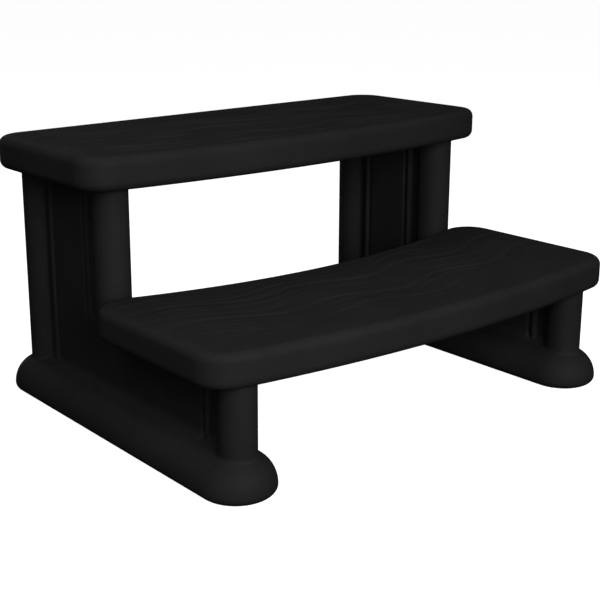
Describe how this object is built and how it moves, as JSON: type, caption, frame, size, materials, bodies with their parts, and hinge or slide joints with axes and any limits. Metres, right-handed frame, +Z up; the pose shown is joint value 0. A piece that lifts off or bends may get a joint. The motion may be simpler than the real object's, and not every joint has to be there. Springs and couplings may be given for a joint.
{
  "type": "two-step spa step",
  "caption": "Free-standing two-step spa step: hollow side frames with round posts and floor rails, bowed treads with raised wood grain.",
  "frame": {"origin": "on the floor, under the centre of the whole object", "axes": "+X along the treads, +Y the way the steps are climbed, +Z up"},
  "size_m": [0.7612, 0.6034, 0.4],
  "materials": {
    "black_plastic": "satin moulded polyethylene with a fine grain",
    "screw_steel": "zinc-plated"
  },
  "bodies": {
    "root": {"left_side_frame": "black_plastic", "right_side_frame": "black_plastic", "upper_tread": "black_plastic", "lower_tread": "black_plastic", "upper_screw_left_front": "screw_steel", "upper_screw_left_rear": "screw_steel", "upper_screw_right_front": "screw_steel", "upper_screw_right_rear": "screw_steel", "lower_screw_left_front": "screw_steel", "lower_screw_left_rear": "screw_steel", "lower_screw_right_front": "screw_steel", "lower_screw_right_rear": "screw_steel"}
  },
  "joints": []
}
